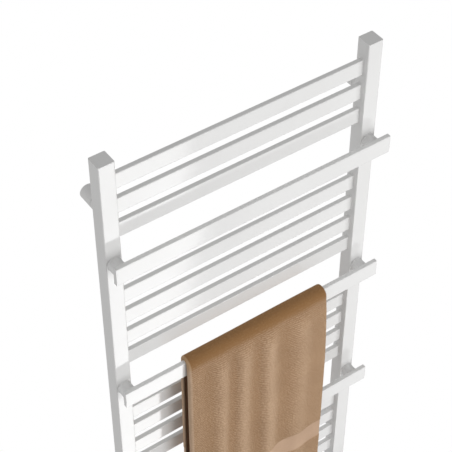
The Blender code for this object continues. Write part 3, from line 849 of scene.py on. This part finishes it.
@dataclass
class ControlHead:
    """The heater's head: a case in two halves, its board, dial, button, lamp and cable gland."""

    shop: Workshop
    rim: float = 0.6 * MM
    dial_gap: float = 0.3 * MM
    stem_radius: float = 3.0 * MM
    flutes: int = 36
    flute_depth: float = 0.5 * MM
    dial_dome: float = 0.8 * MM
    mark_width: float = 1.4 * MM
    ticks: int = 11
    tick_sweep: float = math.radians(270)
    tick_gap: float = 0.7 * MM
    long_tick: float = 1.9 * MM
    short_tick: float = 1.2 * MM
    tick_width: float = 0.6 * MM
    tick_proud: float = 0.25 * MM
    dish: float = 0.6 * MM
    neck_radius: float = 6.0 * MM

    def build(self) -> None:
        """Makes every part of the head."""
        self._case()
        self._dial()
        self._scale()
        self._button()
        self._lens()
        self._gland()
        self.shop.dress("circuit_board", Slot.BOARD)

    def _case(self) -> None:
        """Makes both halves of the case, with their corners rounded."""
        halves = {"control_housing": "head_rear_case", "control_cover": "head_front_case"}
        for node, name in halves.items():
            shape = copy_of(node)
            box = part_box(node)
            corners = [e for e in shape.edges if turns_by(e) > math.radians(60)]
            outside = [e for e in corners if all(self._on_skin(v.co, *box) for v in e.verts)]
            bevel(shape, outside, self.rim, 2)
            self.shop.piece(name, shape, node, slot=Slot.CASE)

    @staticmethod
    def _on_skin(point: Vector, low: Vector, high: Vector) -> bool:
        """Whether a point lies on an edge of the case's outline."""
        faces = sum(min(point[i] - low[i], high[i] - point[i]) < 0.02 * MM for i in (0, 1, 2))
        return faces >= 2

    @staticmethod
    def _seat(node: str) -> tuple[Vector, float, float, float]:
        """Where a node's axis meets the case's front, its radius, and its reach back and out."""
        low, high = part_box(node)
        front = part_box("control_cover")[0].y
        place = middle_of(node)
        place.y = front
        return place, radius_of(node), front - high.y, front - low.y

    def _dial(self) -> None:
        """Makes the fluted dial on its stem, and its mark."""
        centre, radius, back, tall = self._seat("control_dial")
        foot, stem = self.dial_gap, self.stem_radius
        skin = [
            (0.4, foot), (0.0, foot + 0.4 * MM), (0.0, foot + 2.4 * MM), (1.1, foot + 3.2 * MM),
            (1.5, tall - 1.6 * MM), (2.0, tall - 0.7 * MM), (3.0, tall - 0.2 * MM), (4.5, tall),
            (6.5, tall - 0.25 * MM),
        ]
        profile = [
            (0.0, back), (stem, back), (stem, foot),
            *((radius - inset * MM, height) for inset, height in skin),
            (0.0, tall - self.dial_dome),
        ]
        grip = Flutes(
            self.flutes, self.flute_depth, foot + 2.9 * MM, tall - 0.6 * MM, radius - 2.2 * MM
        )
        shape = turned(profile, Facing.ROOM, centre, self.flutes * 4, grip)
        self.shop.piece("head_dial", shape, "control_dial", slot=Slot.KEY, body=Body.DIAL)
        half, face, tip = self.mark_width / 2, centre.y - tall, centre.z + radius
        mark = block(
            Vector((centre.x - half, face - 0.02 * MM, tip - 6.3 * MM)),
            Vector((centre.x + half, face + 0.6 * MM, tip - 2.6 * MM)),
        )
        bevel(mark, along_axis(mark, 1), 0.5 * MM, 3)
        self.shop.piece("head_dial_mark", mark, slot=Slot.CASE, body=Body.DIAL)

    def _scale(self) -> None:
        """Makes the raised ticks round the dial, longer at every fifth."""
        centre, radius, _, _ = self._seat("control_dial")
        shape = bmesh.new()
        for number in range(self.ticks):
            turn = (number / (self.ticks - 1) - 0.5) * self.tick_sweep
            tall = self.long_tick if number % 5 == 0 else self.short_tick
            size = Matrix.Diagonal((self.tick_width, 2 * self.tick_proud, tall, 1))
            place = Matrix.Translation((0.0, 0.0, radius + self.tick_gap + tall / 2))
            matrix = Matrix.Translation(centre) @ Matrix.Rotation(turn, 4, "Y") @ place @ size
            bmesh.ops.create_cube(shape, size=1.0, matrix=matrix)
        bevel(shape, shape.edges, 0.1 * MM, 1)
        self.shop.piece("head_scale", shape, slot=Slot.KEY)

    def _button(self) -> None:
        """Makes the dished push button."""
        place, collar, back, proud = self._seat("power_button")
        radius = collar - 1.0 * MM
        profile = [
            (0.0, back), (collar, back), (collar, back + 1.0 * MM), (radius, back + 1.0 * MM),
            (radius, proud - 0.6 * MM), (radius - 0.18 * MM, proud - 0.18 * MM),
            (radius - 0.6 * MM, proud), (radius - 1.1 * MM, proud - 0.05 * MM),
            (radius * 0.5, proud - 0.8 * self.dish), (0.0, proud - self.dish),
        ]
        shape = turned(profile, Facing.ROOM, place)
        self.shop.piece("head_button", shape, "power_button", slot=Slot.KEY, body=Body.BUTTON)

    def _lens(self) -> None:
        """Makes the domed lamp lens."""
        place, radius, back, proud = self._seat("indicator_lens")
        turns = [math.radians(angle) for angle in (0, 18, 36, 54, 72)]
        dome = [(radius * math.cos(turn), proud * math.sin(turn)) for turn in turns]
        profile = [(0.0, back), (radius, back), *dome, (0.0, proud)]
        shape = turned(profile, Facing.ROOM, place, 32)
        self.shop.piece("head_lamp", shape, "indicator_lens", slot=Slot.LENS)

    def _gland(self) -> None:
        """Makes the cable gland: a neck, a flange and a fluted domed nut with an open mouth."""
        low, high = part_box("cable_gland")
        place = middle_of("cable_gland")
        place.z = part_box("control_housing")[0].z
        radius = radius_of("cable_gland")
        inside, tall = place.z - high.z, place.z - low.z
        skin = [
            (0.0, 0.25 * MM), (0.0, 3.6 * MM), (1.3, 3.9 * MM), (1.3, 4.5 * MM), (0.3, 4.8 * MM),
            (0.3, tall - 5.4 * MM), (0.9, tall - 3.2 * MM), (2.2, tall - 1.0 * MM), (3.4, tall),
        ]
        profile = [
            (0.0, inside), (self.neck_radius, inside), (self.neck_radius, 0.25 * MM),
            *((radius - inset * MM, height) for inset, height in skin),
            (4.2 * MM, tall), (3.6 * MM, tall - 0.6 * MM), (3.2 * MM, tall - 3.4 * MM),
            (0.0, tall - 3.4 * MM),
        ]
        grip = Flutes(16, 0.5 * MM, 5.0 * MM, tall - 3.0 * MM, radius - 1.5 * MM)
        shape = turned(profile, Facing.DOWN, place, flutes=grip)
        self.shop.piece("head_gland", shape, "cable_gland", slot=Slot.CASE)


# The towel


@dataclass
class Towel:
    """A terry towel folded double along its length and hung over the middle rail.

    The fold is on the right. On the left, the outer layer's edge turns in over the inner one's.
    """

    shop: Workshop
    thickness: float = 0.0044
    inner_gap: float = 0.0023
    outer_gap: float = 0.0058
    rear_spread: float = 0.0012
    front_curve: float = 0.0085
    front_spread: float = 0.0068
    left: float = -0.1485
    right: float = 0.1606
    top_inset: float = 0.0055
    rear_shift: float = -0.0008
    front_drop: float = 0.5375
    rear_drop: float = 0.4150
    corner: float = 0.0022
    turn_in: float = 0.0030
    tuck: float = 0.0060
    inner_inset: float = 0.0032
    clearance: float = 0.0007
    turn_columns: int = 6
    fold_columns: int = 12
    column: float = 0.0036
    row: float = 0.0064
    bend_row: float = 0.0012
    bend_reach: float = 0.026
    band_low: float = 0.0930
    band_tall: float = 0.0520
    rear_band_low: float = 0.0870
    hem: float = 0.0140
    band_step: float = 0.0016
    hem_step: float = 0.0012
    band_share: float = 0.62
    hem_share: float = 0.80
    edge_share: float = 0.86
    bend_share: float = 0.78
    swell: float = 0.0098
    inner_swell: float = 0.35
    rear_swell: float = 0.0022
    front_wander: float = 0.0006
    rear_wander: float = 0.0004
    inset_start: float = -0.02
    creases: tuple[Pair, ...] = (
        (-0.160, 0.35), (-0.138, 0.22), (-0.110, 0.0), (-0.082, 0.80), (-0.057, 0.05),
        (-0.034, 0.90), (0.001, 0.0), (0.025, 1.0), (0.062, 0.05), (0.104, 0.70), (0.136, 0.28),
        (0.175, 0.40),
    )
    rail_low: Vector = field(default_factory=lambda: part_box("hanger_rail_middle")[0])
    rail_high: Vector = field(default_factory=lambda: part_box("hanger_rail_middle")[1])

    @property
    def half_rail(self) -> float:
        """Half the rail's depth."""
        return (self.rail_high.y - self.rail_low.y) / 2

    @property
    def fold_radius(self) -> float:
        """Radius of the soft fold that joins the two layers, where they hang."""
        return self.front_spread / 2

    @property
    def turned(self) -> float:
        """Width of the outer layer's edge that turns in."""
        return self.tuck + self.turn_in * math.pi / 2

    @property
    def layer(self) -> float:
        """Width of the outer layer, up to the fold."""
        return self.turned + self.right - self.fold_radius - self.left - self.turn_in

    @property
    def fold(self) -> float:
        """Width of the fold, round its middle line."""
        return math.pi * self.fold_radius

    @property
    def width(self) -> float:
        """Width of the whole sheet, laid flat."""
        return self.layer + self.fold + self.right - self.fold_radius - self.left - self.inner_inset

    @property
    def length(self) -> float:
        """Length of the whole sheet, laid flat."""
        return self.front_drop + self.rear_drop

    @property
    def bands(self) -> tuple[Pair, ...]:
        """Where each woven band starts and ends along the cloth."""
        rear = self.length - self.rear_band_low
        return (self.band_low, self.band_low + self.band_tall), (rear - self.band_tall, rear)

    def finish(self) -> Terry:
        """The cloth's finish, with its bands and hems where this towel has them."""
        middle = self.layer + self.fold / 2
        rim = self.tuck + self.turn_in
        return Terry(self.width, self.length, self.bands, self.hem, rim, middle, self.front_drop)

    def build(self) -> None:
        columns = self._columns()
        rows = self._rows()
        across, along = len(columns) - 1, len(rows) - 1
        shape = bmesh.new()
        uv = shape.loops.layers.uv.new("cloth")
        shares = shape.verts.layers.deform.new("thickness")
        # Painted light and shade of the folds, per point, for the cloth's colour.
        nap = shape.verts.layers.float.new("nap")
        bmesh.ops.create_grid(shape, x_segments=across, y_segments=along, size=1.0, calc_uvs=False)
        for vert in shape.verts:
            u = columns[round((vert.co.x + 1) / 2 * across)]
            v = rows[round((vert.co.y + 1) / 2 * along)]
            vert.co, vert[nap] = self.point(u, v)
            vert[shares][0] = self._share(u, v)
            for loop in vert.link_loops:
                loop[uv].uv = (u, v)
        bmesh.ops.recalc_face_normals(shape, faces=shape.faces)
        obj = self.shop.piece(
            "bath_towel", shape, "towel", slot=Slot.TERRY, body=Body.TOWEL, even=False
        )
        obj.vertex_groups.new(name="thickness")
        wall = obj.modifiers.new("wall", "SOLIDIFY")
        wall.thickness = self.thickness
        wall.offset = 0.0
        wall.use_even_offset = False
        wall.vertex_group = "thickness"
        wall.use_rim = True
        self.shop.settle(obj)
        self.width
        self.length

    def _columns(self) -> list[float]:
        """Distances across the cloth, close together round the turned-in edge and the fold."""
        marks = [
            (self.tuck, 2), (self.turned, self.turn_columns),
            (self.layer, round((self.layer - self.turned) / self.column)),
            (self.layer + self.fold, self.fold_columns),
            (self.width, round((self.width - self.layer - self.fold) / self.column)),
        ]
        return spread(marks)

    def _rows(self) -> list[float]:
        """Distances along the cloth, close together over the rail and beside bands and hems."""
        marks = [self.length, self.front_drop - self.bend_reach, self.front_drop + self.bend_reach]
        for low, high in self.bands:
            marks += [low, low + self.band_step, high - self.band_step, high]
        for depth in (self.hem, self.hem + self.hem_step):
            marks += [depth, self.length - depth]
        steps = []
        start = 0.0
        for end in sorted(marks):
            over_rail = abs((start + end) / 2 - self.front_drop) < self.bend_reach
            row = self.bend_row if over_rail else self.row
            steps.append((end, max(1, round((end - start) / row))))
            start = end
        return spread(steps)

    def _share(self, u: float, v: float) -> float:
        """The cloth's thickness at a point, as a share of the pile's."""
        share = 1.0
        half_step = self.band_step / 2
        if any(low + half_step < v < high - half_step for low, high in self.bands):
            share = self.band_share
        if not self.hem < v < self.length - self.hem:
            share = self.hem_share
        if u < 0.002 or u > self.width - 0.004:
            share = min(share, self.edge_share)
        from_bend = min(abs(v - self.front_drop) / self.bend_reach, 1.0)
        return share * (self.bend_share + (1.0 - self.bend_share) * from_bend)

    def _over_rail(self, distance: float, outer: float) -> tuple[float, float, float, float]:
        """Where the cloth runs over the rail: tight at the back and in a soft curve at the front.

        Args:
            distance: how far along the cloth from the top's middle, below 0 towards the front hem.
            outer: 0 on the inner layer and 1 on the outer one.

        Returns:
            y and z of the point, then y and z of the outward direction.
        """
        gap = self.inner_gap + (self.outer_gap - self.inner_gap) * outer
        top = self.rail_high.z + gap
        start = (self.rail_high.y + self.rail_low.y) / 2
        if distance < 0:
            radius = self.front_curve + self.front_spread * outer
            flat, sign = 0.0, -1.0
        else:
            radius = self.corner + gap + self.rear_spread * outer
            flat, sign = self.rail_high.y - self.corner - start, 1.0
        far = abs(distance)
        arc = radius * math.pi / 2
        if far <= flat:
            return start + sign * far, top, 0.0, 1.0
        centre = start + sign * flat
        if far <= flat + arc:
            angle = (far - flat) / radius
            out_y, out_z = sign * math.sin(angle), math.cos(angle)
            return centre + radius * out_y, top - radius + radius * out_z, out_y, out_z
        return centre + sign * radius, top - radius - (far - flat - arc), sign, 0.0

    def _crest(self, x: float, below: float) -> float:
        """Height of the folds, from 0 to 1, at a place across and a depth below the bend."""
        place = x + 0.0016 * math.sin(11.0 * below + 34.0 * x)
        height = 0.0
        for (start, first), (end, last) in zip(self.creases, self.creases[1:]):
            if start <= place < end:
                share = (place - start) / (end - start)
                rising = share if last > first else 1 - share
                low, high = sorted((first, last))
                height = low + (high - low) * (0.5 - 0.5 * math.cos(math.pi * rising)) ** 1.35
        return height

    def _across(self, u: float, room: float) -> tuple[float, float, float]:
        """Where a line along the cloth lies across it.

        Args:
            u: distance across the cloth from the outer layer's open edge.
            room: the outer layer's distance from the rail.

        Returns:
            x, then 1 on the outer layer or 0 on the inner one, then how far the edge turns in.
        """
        if u < self.turned:
            angle = min((self.turned - u) / self.turn_in, math.pi / 2)
            depth = self.turn_in * (1 - math.cos(angle)) + max(self.tuck - u, 0.0)
            limit = min(1.0, (room - self.clearance) / (self.turn_in + self.tuck))
            return self.left + self.turn_in * (1 - math.sin(angle)), 1.0, depth * limit
        if u <= self.layer:
            return self.left + self.turn_in + u - self.turned, 1.0, 0.0
        if u >= self.layer + self.fold:
            return self.left + self.inner_inset + self.width - u, 0.0, 0.0
        angle = (u - self.layer) / self.fold_radius
        edge = self.right - self.fold_radius
        return edge + self.fold_radius * math.sin(angle), 0.5 + 0.5 * math.cos(angle), 0.0

    def point(self, u: float, v: float) -> tuple[Vector, float]:
        """Where a point of the flat cloth hangs.

        Args:
            u: distance across the cloth from the outer layer's open edge.
            v: distance along it from the front hem.

        Returns:
            The point in the rack's frame, and the painted light and shade of the folds there, from
            0 in the valleys to 1 on the crests.
        """
        distance = v - self.front_drop
        front = distance < 0
        if front:
            room = self.front_curve + self.front_spread - self.half_rail
        else:
            room = self.outer_gap + self.rear_spread
        drop = fade(abs(distance), 0.004, 0.020)
        x, outer, depth = self._across(u, self.outer_gap + (room - self.outer_gap) * drop)
        y, z, out_y, out_z = self._over_rail(distance, outer)
        below = max(0.0, self.rail_high.z - z)
        crest = self._crest(x, below)
        wander = self._wander(x, v) * fade(below, 0.0, 0.06)
        inset = self.top_inset * fade(x, self.inset_start, self.right)
        if front:
            growth = fade(below, 0.001, 0.045 + 0.02 * crest)
            growth *= 1 - 0.25 * fade(below, 0.30, 0.52)
            share = self.inner_swell + (1 - self.inner_swell) * outer
            # Painted light and shade: the fold's height lightens its crest and darkens its valleys.
            nap = folds = crest * growth
            swell = folds * self.swell * share + self.front_wander * wander
            shift = -inset * (1 - fade(below, 0.0, 0.20))
        else:
            folds = crest * fade(below, 0.004, 0.085)
            # Painted light and shade of the rear folds, at half strength.
            nap = 0.5 * folds
            swell = folds * self.rear_swell + self.rear_wander * wander
            shift = self.rear_shift * fade(below, 0.0, 0.05) - inset
        ripple = 0.0002 * math.sin(x * 23.0)
        ripple += 0.0003 * math.sin(x * 61.0 + 1.3) * fade(below, 0.0, 0.02)
        out = swell + ripple - depth
        return Vector((x + shift, y + out_y * out, z + out_z * (ripple - depth))), nap

    @staticmethod
    def _wander(x: float, v: float) -> float:
        """Small slow wrinkles, from -1 to 1."""
        return (
            math.sin(x * 113.0 + 7.0 * v) * math.sin(v * 17.0 + 0.8)
            + 0.6 * math.sin(x * 47.0 - 11.0 * v + 2.0)
            + 0.4 * math.sin(v * 41.0 + x * 19.0)
        ) / 2.0


def spread(marks: list[tuple[float, int]]) -> list[float]:
    """Places from 0 to each mark's place in turn, in the mark's number of equal steps."""
    places = [0.0]
    for end, count in marks:
        begin = places[-1]
        places += [begin + (end - begin) * i / count for i in range(1, count + 1)]
    return places


def fade(value: float, start: float, end: float) -> float:
    """0 up to start, 1 from end, and a smooth step between."""
    share = min(max((value - start) / (end - start), 0.0), 1.0)
    return share * share * (3 - 2 * share)


# The studio


@dataclass
class Studio:
    """Camera, soft light, a pale floor and a pale surround."""

    camera_place: Vector = field(default_factory=lambda: Vector((-1.0091, -1.4532, 2.0103)))
    camera_turn: tuple[float, float, float] = (math.radians(45.026), 0.0, math.radians(-34.945))
    lens: float = 113.0
    floor_height: float = -0.86
    floor_size: float = 16.0
    surround: float = 30.0
    sky: float = 0.42
    floor_glow: float = 1.0
    surround_glow: float = 0.97

    def build(self) -> None:
        """Sets the scene up round the rack."""
        bpy.context.scene.view_settings.view_transform = "Standard"
        self._camera()
        self._sky()
        self._backdrop()
        self._panel("key_panel", Vector((0.62, -2.26, 0.42)), (1.42, 2.60), 2.30, glossy=False)
        self._panel("gloss_panel", Vector((0.30, -2.26, -3.05)), (2.05, 3.4), 3.1, diffuse=False)
        self._panel("gloss_fill", Vector((2.35, -2.26, -3.05)), (2.0, 3.4), 0.9, diffuse=False)
        self._panel("side_fill", Vector((-2.60, 0.60, 0.10)), (2.4, 3.0), 0.50, turn=-77.0)
        self._panel("rear_fill", Vector((0.20, 2.30, 0.0)), (3.0, 3.0), 0.50, turn=180.0)

    def _camera(self) -> None:
        """Stands the camera up and to the left."""
        data = bpy.data.cameras.new("camera")
        data.lens = self.lens
        data.sensor_width = 36.0
        data.clip_end = 100.0
        camera = bpy.data.objects.new("camera", data)
        camera.location = self.camera_place
        camera.rotation_euler = self.camera_turn
        bpy.context.scene.collection.objects.link(camera)
        bpy.context.scene.camera = camera

    def _sky(self) -> None:
        """Gives an even dim light from all round."""
        world = bpy.data.worlds.new("surround_light")
        world.use_nodes = True
        background = world.node_tree.nodes["Background"]
        background.inputs["Color"].default_value = (1.0, 1.0, 1.0, 1.0)
        background.inputs["Strength"].default_value = self.sky
        bpy.context.scene.world = world

    def _backdrop(self) -> None:
        """Makes the pale floor and a pale surround for it to end in. Neither lights the rack."""
        half, top = self.floor_size / 2, self.floor_height
        floor = block(Vector((-half, -half, top - 0.02)), Vector((half, half, top)))
        self._stage("floor", floor, self.floor_glow)
        dome = bmesh.new()
        bmesh.ops.create_icosphere(dome, subdivisions=3, radius=self.surround)
        self._stage("surround", dome, self.surround_glow)

    @staticmethod
    def _stage(name: str, shape: Shape, glow: float) -> None:
        """Makes one backdrop that only the camera sees."""
        mesh = bpy.data.meshes.new(name)
        shape.to_mesh(mesh)
        shape.free()
        obj = bpy.data.objects.new(name, mesh)
        bpy.context.scene.collection.objects.link(obj)
        shader = Shader(f"{name}_paint")
        shader.fix(Base_Color=(0.0, 0.0, 0.0, 1.0), Roughness=1.0, Specular_IOR_Level=0.0)
        shader.fix(Emission_Color=(1.0, 1.0, 1.0, 1.0), Emission_Strength=glow)
        mesh.materials.append(shader.material)
        obj.visible_diffuse = obj.visible_glossy = False
        obj.visible_shadow = obj.visible_transmission = False

    @staticmethod
    def _panel(
        name: str, place: Vector, size: Pair, radiance: float,
        turn: float = 0.0, diffuse: bool = True, glossy: bool = True,
    ) -> None:
        """Hangs an upright soft light panel.

        Args:
            name: the light's name.
            place: its middle.
            size: its width and height.
            radiance: how bright its face is.
            turn: degrees it is turned about the vertical, from facing the wall.
            diffuse: whether it lights matt surfaces.
            glossy: whether it shows in gloss.
        """
        data = bpy.data.lights.new(name, "AREA")
        data.shape = "RECTANGLE"
        data.size, data.size_y = size
        data.energy = radiance * 4 * size[0] * size[1]
        panel = bpy.data.objects.new(name, data)
        panel.location = place
        panel.rotation_euler = (math.pi / 2, 0.0, math.radians(turn))
        panel.visible_camera = False
        panel.visible_diffuse = diffuse
        panel.visible_glossy = glossy
        bpy.context.scene.collection.objects.link(panel)


def main() -> None:
    """Builds the studio and then the rack, part by part."""
    logging.basicConfig(level=logging.INFO, format="%(message)s")
    Studio().build()
    shop = Workshop()
    towel = Towel(shop)
    shop.stock({
        Slot.ENAMEL: Enamel(),
        Slot.STEEL: TurnedMetal("machined_steel", (0.56, 0.56, 0.57), (0.42, 0.42, 0.43), 0.30),
        Slot.NICKEL: TurnedMetal("nickel_plate", (0.70, 0.68, 0.63), (0.58, 0.56, 0.52), 0.16),
        Slot.CASE: MouldedPlastic("white_moulding", (0.80, 0.80, 0.79), (0.77, 0.77, 0.76), 0.32),
        Slot.KEY: MouldedPlastic("grey_moulding", (0.30, 0.31, 0.32), (0.26, 0.27, 0.28), 0.45),
        Slot.BOARD: CircuitResist(),
        Slot.LENS: LampLens(),
        Slot.TERRY: towel.finish(),
    })
    for side in SIDES:
        Collector(shop, side).build()
    CrossbarLadder(shop).build()
    for level in LEVELS:
        HangerRail(shop, level).build()
    for level in ("upper", "lower"):
        for side in SIDES:
            WallSupport(shop, level, side).build()
    AirVent(shop).build()
    FootFittings(shop).build()
    ControlHead(shop).build()
    towel.build()
    LOG.info("%d pieces made", len(shop.made))


if __name__ == "__main__":
    main()
